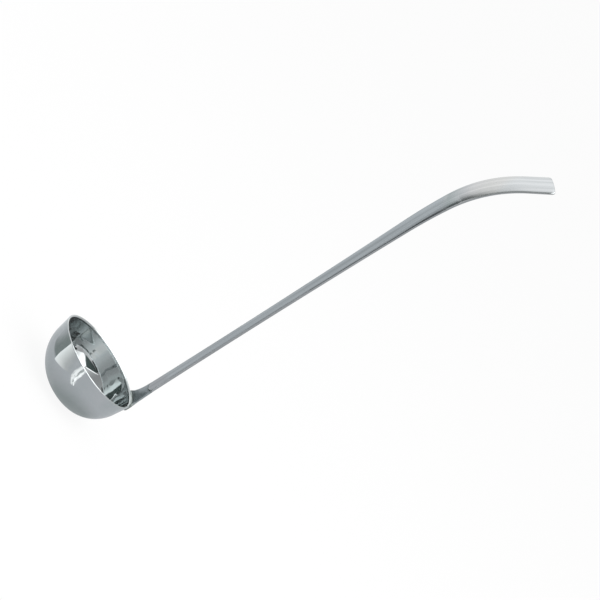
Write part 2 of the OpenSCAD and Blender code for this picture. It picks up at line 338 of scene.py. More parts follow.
def lengthwise_polished_handle():
    """18/10 stainless strip, polished along its length before bending: soft streaks run with the handle,
    its reflection is blurred a little, and fine handling scratches lie across it."""
    material, tree = new_material("stainless_strip_polished_lengthwise")
    place, _, y, z = millimetres(tree)
    # Polishing lines are 0.1 mm apart and are drawn 0.6 mm apart to show, each about 60 mm long
    line_spacing, line_length, line_depth = 0.6, 60.0, 0.006
    lines = streaks(tree, place, (line_length, line_spacing, line_length), 3.0, roughness=0.6)
    # Wider streaks of 3 mm from the belt, about 150 mm long
    belt_spacing, belt_length, belt_depth = 3.0, 150.0, 0.03
    belt = streaks(tree, place, (belt_length, belt_spacing, belt_length), 2.0)
    cloud_size = 20.0
    cloud = add_node(tree, "ShaderNodeTexNoise", {"Scale": 1 / cloud_size, "Detail": 4.0}, {"Vector": place})
    # Handling scratches, up to 6 mm long and drawn 0.5 mm wide to show
    hair_length, hair_width = 6.0, 0.5
    hairs = streaks(tree, place, (hair_width, hair_length, hair_width), 1.0, turn=(0.7, 0.2, 0.4))
    hairlines = add_node(tree, "ShaderNodeMapRange", {
        "From Min": 0.68, "From Max": 0.74, "To Min": 0.0, "To Max": 1.0}, {"Value": hairs})
    blend = add_node(tree, "ShaderNodeMath", {"operation": "MULTIPLY_ADD", 1: 0.5},
                     {0: lines, 2: belt})
    tint = add_node(tree, "ShaderNodeValToRGB", None, {"Fac": blend.outputs[0]},
                    [(0.6, linear_colour("#A9ADAE")), (0.9, linear_colour("#BEC1C2"))])
    # Shade is painted in a darker colour along the joint's line at the handle's end
    shaded = add_node(tree, "ShaderNodeMix", {
        "data_type": "RGBA", SECOND_COLOUR: linear_colour(JOINT_SHADE_COLOUR),
    }, {0: joint_shadow(tree, y, z), FIRST_COLOUR: tint.outputs["Color"]})
    smoothest, roughest, line_blur, hair_blur = 0.06, 0.1, 0.04, 0.1
    dull = add_node(tree, "ShaderNodeMapRange", {
        "From Min": 0.3, "From Max": 0.7, "To Min": smoothest, "To Max": roughest,
    }, {"Value": cloud.outputs["Fac"]})
    streaked = add_node(tree, "ShaderNodeMath", {"operation": "MULTIPLY_ADD", 1: line_blur},
                        {0: lines, 2: dull.outputs["Result"]})
    scratched = add_node(tree, "ShaderNodeMath", {"operation": "MULTIPLY_ADD", 1: hair_blur},
                         {0: hairlines.outputs["Result"], 2: streaked.outputs[0]})
    wavy = add_node(tree, "ShaderNodeBump", {"Strength": 1.0, "Distance": belt_depth * MM},
                    {"Height": belt})
    drawn = add_node(tree, "ShaderNodeBump", {"Strength": 0.6, "Distance": line_depth * MM},
                     {"Height": lines, "Normal": wavy.outputs["Normal"]})
    steel = add_node(tree, "ShaderNodeBsdfPrincipled", {"Metallic": 1.0}, {
        "Base Color": shaded.outputs[MIXED_COLOUR], "Roughness": scratched.outputs[0],
        "Normal": drawn.outputs["Normal"]})
    add_node(tree, "ShaderNodeOutputMaterial", None, {"Surface": steel.outputs["BSDF"]})
    return material


bowl_steel = mirror_polished_bowl()
neck_steel = ground_neck()
weld_steel = brushed_weld()
handle_steel = lengthwise_polished_handle()


# The pieces
def eased(share):
    """A share from 0 to 1 with a soft start and end."""
    return share * share * (3 - 2 * share)


def smooth_share(value, low, high):
    """0 below low, 1 above high and a soft rise between them."""
    return eased(min(max((value - low) / (high - low), 0.0), 1.0))


def wall_curve(rim_radius, depth):
    """Radius and height of one skin of the bowl, from the rim's plane down to the base's flat: a flared
    wall, a round corner and the flat."""
    wall_steps, corner_steps = 40, 80
    turn = math.pi / 2 - WALL_FLARE
    reach = rim_radius - BASE_FLAT_RADIUS
    # The corner's radius and the wall's length that join the flat and the rim without a kink
    share = math.sin(turn) * math.cos(WALL_FLARE) - math.sin(WALL_FLARE) * (1 - math.cos(turn))
    corner = (reach * math.cos(WALL_FLARE) - depth * math.sin(WALL_FLARE)) / share
    wall = (math.sin(turn) * depth - (1 - math.cos(turn)) * reach) / share
    floor = RIM_PLANE - depth
    curve = []
    for step in range(wall_steps):
        run = wall * step / wall_steps
        curve.append((rim_radius - run * math.sin(WALL_FLARE), RIM_PLANE - run * math.cos(WALL_FLARE)))
    for step in range(corner_steps + 1):
        angle = turn * (1 - step / corner_steps)
        curve.append((
            BASE_FLAT_RADIUS + corner * math.sin(angle),
            floor + corner * (1 - math.cos(angle)),
        ))
    curve.append((BASE_FLAT_RADIUS * 0.5, floor))
    curve.append((0.0, floor))
    return curve


def bowl_profile():
    """Radius and height of the bowl's skin, from the middle of the base round the rim to the floor."""
    lip_steps, fillet_steps = 10, 6
    lip_foot = CREST_HEIGHT - LIP_OUTER_RADIUS - LIP_RUN_IN
    outside = [spot for spot in wall_curve(RIM_RADIUS, RIM_PLANE)[::-1] if spot[1] < lip_foot]
    # The sheet's edge was upset into a lip, round outside and with a longer slope on its inside
    crest_radius = RIM_RADIUS - LIP_OUTER_RADIUS
    lip = []
    for step in range(2 * lip_steps + 1):
        turn = math.pi / 2 * step / lip_steps
        reach, drop = (LIP_OUTER_RADIUS,) * 2 if step < lip_steps else (LIP_INNER_REACH, LIP_INNER_DROP)
        lip.append((crest_radius + reach * math.cos(turn), CREST_HEIGHT - drop * (1 - math.sin(turn))))
    last_radius, last_height = lip[-1]
    skin = wall_curve(RIM_RADIUS - BOWL_WALL, RIM_PLANE - BOWL_WALL)
    first_radius, first_height = next(spot for spot in skin if spot[1] < last_height - LIP_UNDERCUT)
    fillet = []
    for step in range(1, fillet_steps):
        share = step / fillet_steps
        fillet.append((
            last_radius + (first_radius - last_radius) * eased(share),
            last_height + (first_height - last_height) * share,
        ))
    inside = [spot for spot in skin if spot[1] <= first_height]
    return outside + lip + fillet + inside


def body_lean(height):
    """How far the bowl's body lies towards the handle at a height."""
    return BODY_SLANT_SHARE * max(RIM_PLANE - height, 0.0)


def turned_bowl():
    """The bowl, turned about its axis from its profile."""
    facets = 288
    outline = bowl_profile()
    rings = outline[1:-1]
    points = [(body_lean(outline[0][1]), 0.0, outline[0][1])]
    for radius, height in rings:
        for facet in range(facets):
            angle = 2 * math.pi * facet / facets
            points.append((radius * math.cos(angle) + body_lean(height), radius * math.sin(angle), height))
    points.append((body_lean(outline[-1][1]), 0.0, outline[-1][1]))
    last = len(points) - 1
    faces = []
    for facet in range(facets):
        after = (facet + 1) % facets
        faces.append((0, 1 + after, 1 + facet))
        for ring in range(len(rings) - 1):
            low = 1 + ring * facets
            faces.append((low + facet, low + after, low + facets + after, low + facets + facet))
        low = 1 + (len(rings) - 1) * facets
        faces.append((low + facet, low + after, last))
    return mesh_object("mirror_bowl", points, faces, bowl_steel)


SIDE_CENTRE = WAIST_HALF_WIDTH + SIDE_RADIUS
SWELL_ANGLE = math.asin((SWELL_HEIGHT - WAIST_HEIGHT) / SIDE_RADIUS)
SWELL_OFFSET = SIDE_CENTRE - (SIDE_RADIUS + SWELL_RADIUS) * math.cos(SWELL_ANGLE)
SWELL_CENTRE_HEIGHT = SWELL_HEIGHT + SWELL_RADIUS * math.sin(SWELL_ANGLE)


def handle_half_width(height):
    """Half of the handle's width at a height above the rim."""
    if height < SWELL_HEIGHT:
        return SIDE_CENTRE - math.sqrt(SIDE_RADIUS ** 2 - (height - WAIST_HEIGHT) ** 2)
    return SWELL_OFFSET + math.sqrt(SWELL_RADIUS ** 2 - (height - SWELL_CENTRE_HEIGHT) ** 2)


def joint_rise(side):
    """How far the joint's line rises above its middle at a distance to the side."""
    return JOINT_RADIUS - math.sqrt(JOINT_RADIUS ** 2 - side ** 2)


JOINT_HALF_WIDTH = handle_half_width(NECK_HEIGHT)
JOINT_EDGE_RISE = joint_rise(JOINT_HALF_WIDTH)
NECK_SIDE_RISE = NECK_HEIGHT + JOINT_EDGE_RISE + NECK_SIDE_RUN
NECK_SIDE_GAIN = NECK_FOOT_HALF_WIDTH - JOINT_HALF_WIDTH
NECK_SIDE_RADIUS = (NECK_SIDE_RISE ** 2 + NECK_SIDE_GAIN ** 2) / (2 * NECK_SIDE_GAIN)
NECK_FACE = RIM_RADIUS - NECK_INSET
HANDLE_START = NECK_FACE - math.tan(LEAN) * NECK_HEIGHT
STRIP_LENGTH = STRAIGHT_LENGTH + GENTLE_RADIUS * GENTLE_TURN + MAIN_RADIUS * MAIN_TURN + END_LENGTH
JOINT_STEPS = 20
ROUND_CORNER_STEPS = 12
PLATE_COLUMNS = 24


def along(turn):
    """The direction along the strip where it has turned outwards by an angle."""
    return Vector((math.sin(turn), 0.0, math.cos(turn)))


def across(turn):
    """The direction through the strip, away from the bowl's axis, where it has turned by an angle."""
    return Vector((math.cos(turn), 0.0, -math.sin(turn)))


def strip_place(run):
    """Point of the face towards the bowl and the strip's turn, at a run along the strip above the joint."""
    start = Vector((HANDLE_START, 0.0, RIM_PLANE + NECK_HEIGHT))
    if run <= STRAIGHT_LENGTH:
        return start + along(-LEAN) * run, -LEAN
    gentle_start = start + along(-LEAN) * STRAIGHT_LENGTH
    gentle_centre = gentle_start + across(-LEAN) * GENTLE_RADIUS
    gentle_run = GENTLE_RADIUS * GENTLE_TURN
    rest = run - STRAIGHT_LENGTH
    if rest <= gentle_run:
        turn = rest / GENTLE_RADIUS - LEAN
        return gentle_centre - across(turn) * GENTLE_RADIUS, turn
    main_turn = GENTLE_TURN - LEAN
    main_start = gentle_centre - across(main_turn) * GENTLE_RADIUS
    main_centre = main_start + across(main_turn) * MAIN_RADIUS
    main_run = MAIN_RADIUS * MAIN_TURN
    rest -= gentle_run
    if rest <= main_run:
        turn = main_turn + rest / MAIN_RADIUS
        return main_centre - across(turn) * MAIN_RADIUS, turn
    turn = main_turn + MAIN_TURN
    return main_centre - across(turn) * MAIN_RADIUS + along(turn) * (rest - main_run), turn


def spread(points, count):
    """The same line with its points spread evenly, as many as count."""
    lengths = [0.0]
    for before, after in zip(points, points[1:]):
        lengths.append(lengths[-1] + math.dist(before, after))
    placed = []
    index = 0
    for step in range(count):
        want = lengths[-1] * step / (count - 1)
        while index < len(points) - 2 and lengths[index + 1] < want:
            index += 1
        share = (want - lengths[index]) / (lengths[index + 1] - lengths[index])
        share = min(max(share, 0.0), 1.0)
        placed.append(tuple(a + (b - a) * share for a, b in zip(points[index], points[index + 1])))
    return placed


def joint_line(half_width, height):
    """The joint's line from side to side, which rises from a height at its middle."""
    sides = [half_width * step / JOINT_STEPS for step in range(-JOINT_STEPS, JOINT_STEPS + 1)]
    return [(side, height + joint_rise(side)) for side in sides]


def mirrored(line):
    """The same line on the other side of the handle's middle plane."""
    return [(-side, height) for side, height in line]


def rounded_outline(loop, corners, edges):
    """How far the rounding reaches outwards at each point of a plate's outline, and its radius there.
    edges gives the radii at the bottom, the sides and the top."""
    bottom_edge, side_edge, top_edge = edges
    count = len(loop)

    def outward(start, end):
        """The direction outwards from the line between two points of the outline."""
        rise = loop[end % count][1] - loop[start % count][1]
        reach = loop[end % count][0] - loop[start % count][0]
        size = math.hypot(reach, rise)
        return rise / size, -reach / size

    reaches, radii = [], []
    for index in range(count):
        edge = side_edge
        if corners[0] <= index <= corners[1]:
            edge = bottom_edge
        elif corners[2] <= index <= corners[3]:
            edge = top_edge
        if index in corners and edge < side_edge:
            # At the corner of a sharper end each of the two sides keeps its own rounding
            before, after = outward(index - 1, index), outward(index, index + 1)
            first, second = (side_edge, edge) if index in (corners[0], corners[2]) else (edge, side_edge)
            reaches.append((before[0] * first + after[0] * second, before[1] * first + after[1] * second))
            radii.append(side_edge)
        else:
            normal = outward(index - 1, index + 1)
            reaches.append((normal[0] * edge, normal[1] * edge))
            radii.append(edge)
    return reaches, radii


def blended_grid(bottom, right, top, left):
    """Places inside an outline, by row and column, each blended from the four sides."""
    columns, rows = len(bottom) - 1, len(right) - 1
    grid = {}
    for row in range(rows + 1):
        t = row / rows
        for column in range(columns + 1):
            u = column / columns
            grid[row, column] = tuple(
                (1 - t) * bottom[column][k] + t * top[column][k]
                + (1 - u) * left[row][k] + u * right[row][k]
                - (1 - t) * (1 - u) * bottom[0][k] - (1 - t) * u * bottom[-1][k]
                - t * (1 - u) * top[0][k] - t * u * top[-1][k]
                for k in (0, 1)
            )
    return grid


def plate_mesh(name, bottom, right, top, edges, skin, material):
    """A plate with rounded edges. Its outline's bottom and top run from left to right, its right side
    runs upwards, and its left side mirrors the right. skin gives the point for a place in the outline, on
    the front for a depth of 0 or the back for 1, sunk as far as the rounding has it."""
    columns, rows = PLATE_COLUMNS, len(right) - 1
    bottom, top, left = spread(bottom, columns + 1), spread(top, columns + 1), mirrored(right)
    loop = bottom[:-1] + right[:-1] + top[::-1][:-1] + left[::-1][:-1]
    count = len(loop)
    corners = (0, columns, columns + rows, 2 * columns + rows)
    reaches, radii = rounded_outline(loop, corners, edges)
    inset = [(spot[0] - reach[0], spot[1] - reach[1]) for spot, reach in zip(loop, reaches)]
    grid = blended_grid(
        inset[:columns + 1],
        inset[columns:columns + rows + 1],
        inset[columns + rows:2 * columns + rows + 1][::-1],
        (inset[2 * columns + rows:] + [inset[0]])[::-1],
    )
    points, faces, sheets = [], [], []
    for depth in (0.0, 1.0):
        sheet = {}
        for place, spot in grid.items():
            sheet[place] = len(points)
            points.append(skin(spot[0], spot[1], depth, 0.0))
        sheets.append(sheet)
    front, back = sheets
    for row in range(rows):
        for column in range(columns):
            cells = [(row, column), (row, column + 1), (row + 1, column + 1), (row + 1, column)]
            faces.append(tuple(front[cell] for cell in cells[::-1]))
            faces.append(tuple(back[cell] for cell in cells))
    border = [(0, column) for column in range(columns)] + [(row, columns) for row in range(rows)]
    border += [(rows, column) for column in range(columns, 0, -1)] + [(row, 0) for row in range(rows, 0, -1)]
    # The rounding goes out from the front's border and comes back in to the back's
    steps = 5
    bends = []
    for step in range(1, steps + 1):
        turn = math.pi / 2 * step / steps
        bends.append((math.sin(turn), 0.0, 1 - math.cos(turn)))
    for step in range(steps, 0, -1):
        turn = math.pi / 2 * step / steps
        bends.append((math.sin(turn), 1.0, math.cos(turn) - 1))
    rings = [[front[place] for place in border]]
    for out, depth, sink in bends:
        ring = []
        for spot, reach, radius in zip(inset, reaches, radii):
            ring.append(len(points))
            points.append(skin(spot[0] + reach[0] * out, spot[1] + reach[1] * out, depth, sink * radius))
        rings.append(ring)
    rings.append([back[place] for place in border])
    for low_ring, high_ring in zip(rings, rings[1:]):
        for index in range(count):
            after = (index + 1) % count
            faces.append((low_ring[index], low_ring[after], high_ring[after], high_ring[index]))
    return mesh_object(name, points, faces, material)


def bent_handle():
    """The handle's strip: waisted sides, a swelling end with round corners, bent outwards."""
    rows, side_steps, end_steps = 180, 240, 30

    def half_width(run):
        """Half of the strip's width at a run along it."""
        return handle_half_width(strip_place(run)[0].z - RIM_PLANE)

    corner_side = half_width(STRIP_LENGTH) - END_CORNER_RADIUS
    corner_reach = END_EDGE_RADIUS - END_CORNER_RADIUS
    corner_run = STRIP_LENGTH - (END_EDGE_RADIUS - math.sqrt(corner_reach ** 2 - corner_side ** 2))
    edge_turn = math.asin(corner_side / corner_reach)
    right = []
    for step in range(side_steps + 1):
        run = JOINT_EDGE_RISE + (corner_run - JOINT_EDGE_RISE) * step / side_steps
        right.append((half_width(run), run))
    corner = []
    for step in range(1, ROUND_CORNER_STEPS + 1):
        turn = (math.pi / 2 - edge_turn) * step / ROUND_CORNER_STEPS
        corner.append((
            corner_side + END_CORNER_RADIUS * math.cos(turn),
            corner_run + END_CORNER_RADIUS * math.sin(turn),
        ))
    # The side takes half of the corner and the top the other half
    middle = ROUND_CORNER_STEPS // 2
    right = spread(right + corner[:middle], rows + 1)
    top = corner[middle - 1:]
    for step in range(1, end_steps + 1):
        turn = edge_turn * (1 - step / end_steps)
        top.append((
            END_EDGE_RADIUS * math.sin(turn),
            STRIP_LENGTH - END_EDGE_RADIUS * (1 - math.cos(turn)),
        ))
    top = mirrored(top)[:-1] + top[::-1]
    bottom = joint_line(half_width(JOINT_EDGE_RISE), 0.0)

    def skin(side, run, depth, sink):
        """The point at a side and a run, on the strip's front or back, sunk by its rounding."""
        place, turn = strip_place(run)
        half = half_width(max(run, JOINT_EDGE_RISE))
        share = min(abs(side) / half, 1.0)
        fall = CROWN_SHARE * half * share ** 2
        level = (fall if depth < 0.5 else STRIP_THICKNESS - BACK_CROWN_SHARE * fall) + sink
        return place + across(turn) * level + Vector((0.0, side, 0.0))

    return plate_mesh("polished_handle", bottom, right, top, (JOINT_EDGE, HANDLE_EDGE, HANDLE_EDGE), skin,
                      handle_steel)


def pressed_neck():
    """The neck's plate: round the bowl at its foot, flat where it meets the handle."""
    rows, side_steps = 48, 40
    foot_low = RIM_PLANE - NECK_FOOT_REACH
    corner_side = NECK_FOOT_HALF_WIDTH - NECK_FOOT_CORNER
    corner_height = foot_low + NECK_FOOT_CORNER
    corner = []
    for step in range(ROUND_CORNER_STEPS + 1):
        turn = math.pi / 2 * step / ROUND_CORNER_STEPS
        corner.append((
            corner_side + NECK_FOOT_CORNER * math.sin(turn),
            corner_height - NECK_FOOT_CORNER * math.cos(turn),
        ))
    middle = ROUND_CORNER_STEPS // 2
    bottom_right = [(0.0, foot_low)] + corner[:middle + 1]
    bottom = mirrored(bottom_right[::-1])[:-1] + bottom_right
    right = corner[middle:]
    side_height = NECK_HEIGHT + JOINT_EDGE_RISE
    for step in range(side_steps + 1):
        height = side_height * step / side_steps
        half = JOINT_HALF_WIDTH + NECK_SIDE_RADIUS - math.sqrt(
            NECK_SIDE_RADIUS ** 2 - (NECK_SIDE_RISE - height) ** 2)
        right.append((half, RIM_PLANE + height))
    right = spread(right, rows + 1)
    top = joint_line(JOINT_HALF_WIDTH, RIM_PLANE + NECK_HEIGHT)
    # Heights above the rim's plane: where the curve of the foot starts to flatten, where the crown
    # rises and eases, and where the foot has left the bowl's wall
    bow_top, crown_low, crown_high, crown_ease, foot_clear = 2.0, 0.5, 5.0, 8.0, 0.8
    crown_loss, foot_gap = 0.4, 0.01

    def skin(side, height, depth, sink):
        """The point at a side and a height, on the plate's front or back, sunk by its rounding."""
        rise = height - RIM_PLANE
        bow = 1 - smooth_share(rise, bow_top, NECK_HEIGHT)
        face = NECK_FACE - math.tan(LEAN) * rise
        crown = NECK_CROWN * (side / JOINT_HALF_WIDTH) ** 2
        crown *= smooth_share(rise, crown_low, crown_high) * (
            1 - crown_loss * smooth_share(rise, crown_ease, NECK_HEIGHT))
        inner = face - bow * (RIM_RADIUS - math.sqrt(RIM_RADIUS ** 2 - side ** 2)) + crown
        outer_radius = RIM_RADIUS + STRIP_THICKNESS
        outer = face + STRIP_THICKNESS - bow * (
            outer_radius - math.sqrt(outer_radius ** 2 - side ** 2))
        wall_radius = RIM_RADIUS + math.tan(WALL_FLARE) * min(rise, 0.0)
        wall = math.sqrt(wall_radius ** 2 - side ** 2) + body_lean(height) + foot_gap
        inner += (wall - inner) * (1 - smooth_share(rise, 0.0, foot_clear))
        return (inner if depth < 0.5 else outer) + sink, side, height

    return plate_mesh("pressed_neck", bottom, right, top, (NECK_EDGE, NECK_EDGE, JOINT_EDGE), skin,
                      neck_steel)


def weld_bead():
    """The seam's bead in the corner between the rim and the neck, with its ripples."""
    steps, facets = 96, 16
    ripple_pitch, ripple_share = 0.9, 0.035
    taper_power, end_share = 10, 0.02
    points, faces = [], []
    for step in range(steps + 1):
        share = 2 * step / steps - 1
        angle = WELD_HALF_ANGLE * share
        taper = math.sqrt(max(1 - abs(share) ** taper_power, end_share))
        ripple = 1 + ripple_share * math.sin(2 * math.pi * angle * RIM_RADIUS / ripple_pitch)
        radius = WELD_SHOWING_RADIUS * taper * ripple
        for facet in range(facets):
            turn = 2 * math.pi * facet / facets
            ring = WELD_CENTRE_RADIUS + radius * math.cos(turn)
            points.append((
                ring * math.cos(angle),
                ring * math.sin(angle),
                WELD_CENTRE_HEIGHT + radius * math.sin(turn),
            ))
    for step in range(steps):
        for facet in range(facets):
            after = (facet + 1) % facets
            low = step * facets
            faces.append((low + facet, low + after, low + facets + after, low + facets + facet))
    faces.append(tuple(range(facets))[::-1])
    faces.append(tuple(steps * facets + facet for facet in range(facets)))
    return mesh_object("weld_bead", points, faces, weld_steel)


PIECES = (
    (turned_bowl, "bowl", "bowl_steel"),
    (pressed_neck, "neck", "neck_steel"),
    (weld_bead, "weld_seam", "weld_steel"),
    (bent_handle, "handle", "handle_steel"),
)
for build, node, slot in PIECES:
    piece = build()
    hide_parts(node)
    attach(piece, "root")


# The studio, in metres. Directions are an azimuth and an elevation in degrees, from the bowl's mouth
MOUTH_HEIGHT = 0.035
WORLD_LEVEL = 0.75
FLOOR_COLOUR = "#F4F4F4"
FLOOR_GLOW_SHARE = 0.9
FLOOR_HALF_SIZE = 15.0
FLOOR_LEVEL = -0.0001
LAMP_AIM = (0, 0, 0.1)


def card_cover(name, stops, drift=0.0, grain=6.0):
    """A card's even light. The stops run up the card, or along it where it is lengthwise, as (share of
    the way, colour, strength) with a cover share at the end where it isn't 1. drift is how far noise
    moves them, and grain how fine it is."""
    stops = [(*stop, 1.0)[:4] for stop in stops]
    material, tree = new_material(name)
    spot = add_node(tree, "ShaderNodeTexCoord")
    height = add_node(tree, "ShaderNodeSeparateXYZ", None, {0: spot.outputs["UV"]})
    cloud = add_node(tree, "ShaderNodeTexNoise", {"Scale": grain, "Detail": 2.0},
                     {"Vector": spot.outputs["UV"]})
    centred = add_node(tree, "ShaderNodeMath", {"operation": "SUBTRACT", 1: 0.5}, {0: cloud.outputs["Fac"]})
    moved = add_node(tree, "ShaderNodeMath", {"operation": "MULTIPLY_ADD", 1: drift},
                     {0: centred.outputs[0], 2: height.outputs["Y"]})
    brightest = max(strength for share, colour, strength, cover in stops)
    tint = add_node(tree, "ShaderNodeValToRGB", None, {"Fac": moved.outputs[0]}, [
        (share, linear_colour(colour)) for share, colour, strength, cover in stops])
    level = add_node(tree, "ShaderNodeValToRGB", None, {"Fac": moved.outputs[0]}, [
        (share, (strength / brightest, cover, 0.0, 1.0)) for share, colour, strength, cover in stops])
    parts = add_node(tree, "ShaderNodeSeparateColor", None, {0: level.outputs["Color"]})
    power = add_node(tree, "ShaderNodeMath", {"operation": "MULTIPLY", 1: brightest}, {0: parts.outputs[0]})
    light = add_node(tree, "ShaderNodeEmission", None, {
        "Color": tint.outputs["Color"], "Strength": power.outputs[0]})
    clear = add_node(tree, "ShaderNodeBsdfTransparent")
    mixed = add_node(tree, "ShaderNodeMixShader", None, {
        0: parts.outputs[1], 1: clear.outputs[0], 2: light.outputs["Emission"]})
    add_node(tree, "ShaderNodeOutputMaterial", None, {"Surface": mixed.outputs[0]})
    return material


def plain_stops(colour):
    """The stops of a card in one colour all over."""
    return [(0.0, colour, 1.0), (1.0, colour, 1.0)]


def stage_card(name, low_edge, high_edge, material, lengthwise=False):
    """A card that only reflections see, stretched between two edges with as many points each, in metres.
    Its cover runs from the low edge to the high one, or along the edges if lengthwise."""
    corners = [corner for pair in zip(low_edge, high_edge) for corner in pair]
    last = len(low_edge) - 1
    faces = [(2 * step, 2 * step + 2, 2 * step + 3, 2 * step + 1) for step in range(last)]
    card = mesh_object(name, corners, faces, material, METRE)
    spots = card.data.uv_layers.new(name="card")
    for loop in card.data.loops:
        step, side = divmod(loop.vertex_index, 2)
        spots.data[loop.index].uv = (side, step / last) if lengthwise else (step / last, side)
    card.visible_camera = False
    card.visible_diffuse = False
    card.visible_shadow = False


def direction(azimuth, elevation):
    """A direction as a vector one unit long."""
    turn, rise = math.radians(azimuth), math.radians(elevation)
    return Vector((math.cos(rise) * math.cos(turn), math.cos(rise) * math.sin(turn), math.sin(rise)))


def sky_place(azimuth, elevation, distance):
    """A place in the studio, in metres, by its direction from the bowl's mouth."""
    return Vector((0.0, 0.0, MOUTH_HEIGHT)) + direction(azimuth, elevation) * distance


def sky_card(name, low_edge, high_edge, distance, material, lengthwise=False):
    """A card whose edges are given as directions, at a distance in metres."""
    edges = [[sky_place(*spot, distance) for spot in edge] for edge in (low_edge, high_edge)]
    stage_card(name, *edges, material, lengthwise)


def floor_card(name, low_edge, high_edge, layer, material, lengthwise=False):
    """A card lying just above the floor, its edges and the height of its layer in millimetres."""
    edges = [[(x * MM, y * MM, layer * MM) for x, y in edge] for edge in (low_edge, high_edge)]
    stage_card(name, *edges, material, lengthwise)


def arc_points(low, high, reach, centre=(0.0, 0.0), steps=24):
    """Points in millimetres on an arc between two azimuths."""
    points = []
    for step in range(steps + 1):
        angle = math.radians(low + (high - low) * step / steps)
        points.append((centre[0] + reach * math.cos(angle), centre[1] + reach * math.sin(angle)))
    return points


def fan_card(name, low, high, near, far, layer, material):
    """A card on the floor, a fan round the handle's foot, its cover running with the azimuth."""
    foot = (HANDLE_START, 0.0)
    edges = [arc_points(low, high, reach, foot) for reach in (near, far)]
    floor_card(name, *edges, layer, material, True)


def close_card(name, places, reach, material):
    """A card near the handle, by runs along the strip and two directions seen from each."""
    edges = ([], [])
    for run, *directions in places:
        start = strip_place(min(run, STRIP_LENGTH))[0] * MM
        for edge, (azimuth, elevation) in zip(edges, directions):
            edge.append(start + direction(azimuth, elevation) * reach)
    stage_card(name, *edges, material)


def ring_of_directions(elevation):
    """Directions all round at one elevation."""
    steps = 96
    return [(360 / steps * step - 180, elevation) for step in range(steps + 1)]


def seen_as_background(tree):
    """1 for the rays that show the background: the camera's, and those that metal or glass sends on."""
    path = add_node(tree, "ShaderNodeLightPath")
    first = add_node(tree, "ShaderNodeMath", {"operation": "MAXIMUM"},
                     {0: path.outputs["Is Camera Ray"], 1: path.outputs["Is Glossy Ray"]})
    both = add_node(tree, "ShaderNodeMath", {"operation": "MAXIMUM"},
                    {0: first.outputs[0], 1: path.outputs["Is Transmission Ray"]})
    return both.outputs[0]


def white_world():
    """An even world, pure white where it is the background."""
    world = bpy.data.worlds.new("studio_world")
    world.use_nodes = True
    tree = world.node_tree
    tree.nodes.clear()
    strength = add_node(tree, "ShaderNodeMapRange", {"To Min": WORLD_LEVEL, "To Max": 1.0},
                        {"Value": seen_as_background(tree)})
    light = add_node(tree, "ShaderNodeBackground", {"Color": linear_colour(WHITE)},
                     {"Strength": strength.outputs["Result"]})
    add_node(tree, "ShaderNodeOutputWorld", None, {"Surface": light.outputs["Background"]})
    bpy.context.scene.world = world


def pale_floor():
    """A white board that takes the ladle's shadow and is nearly pure white where it is the background."""
    material, tree = new_material("matt_white_floor_board")
    board = add_node(tree, "ShaderNodeBsdfDiffuse", {"Color": linear_colour(FLOOR_COLOUR)})
    glow = add_node(tree, "ShaderNodeEmission", {"Color": linear_colour(WHITE), "Strength": 1.0})
    share = add_node(tree, "ShaderNodeMath", {"operation": "MULTIPLY", 1: FLOOR_GLOW_SHARE},
                     {0: seen_as_background(tree)})
    mixed = add_node(tree, "ShaderNodeMixShader", None, {
        0: share.outputs[0], 1: board.outputs[0], 2: glow.outputs[0]})
    add_node(tree, "ShaderNodeOutputMaterial", None, {"Surface": mixed.outputs[0]})
    corners = [(x * FLOOR_HALF_SIZE, y * FLOOR_HALF_SIZE, FLOOR_LEVEL)
               for x, y in ((-1, -1), (1, -1), (1, 1), (-1, 1))]
    floor = mesh_object("floor", corners, [(0, 1, 2, 3)], material, METRE)


def soft_lamp(name, azimuth, elevation, distance, size, radiance):
    """A square lamp that lights the floor and the ladle and is not seen itself."""
    lamp = bpy.data.lights.new(name, "AREA")
    lamp.shape = "SQUARE"
    lamp.size = size
    lamp.energy = radiance * math.pi * size * size
    holder = add_object(name, lamp)
    place = sky_place(azimuth, elevation, distance)
    holder.location = place
    holder.rotation_euler = (place - Vector(LAMP_AIM)).to_track_quat("Z", "Y").to_euler()
    holder.visible_camera = False
    holder.visible_glossy = False


white_world()
pale_floor()
soft_lamp("overhead_soft_lamp", azimuth=-60, elevation=70, distance=1.6, size=1.4, radiance=2.4)

GREY = "#CCCED2"
SHADE_GREY = "#A6ABAC"
PALE_GREY = "#D6D9DC"
DARK_GREY = "#6E7877"
CLOTH = "#4E5857"
FADED_CLOTH = "#8D9594"
BLACK_BOARD = "#1C2423"
TABLE_STREAK = "#C7CCD0"
PAPER_FOLD = "#A9AFAF"
WARM_PAPER = "#FFFCFA"

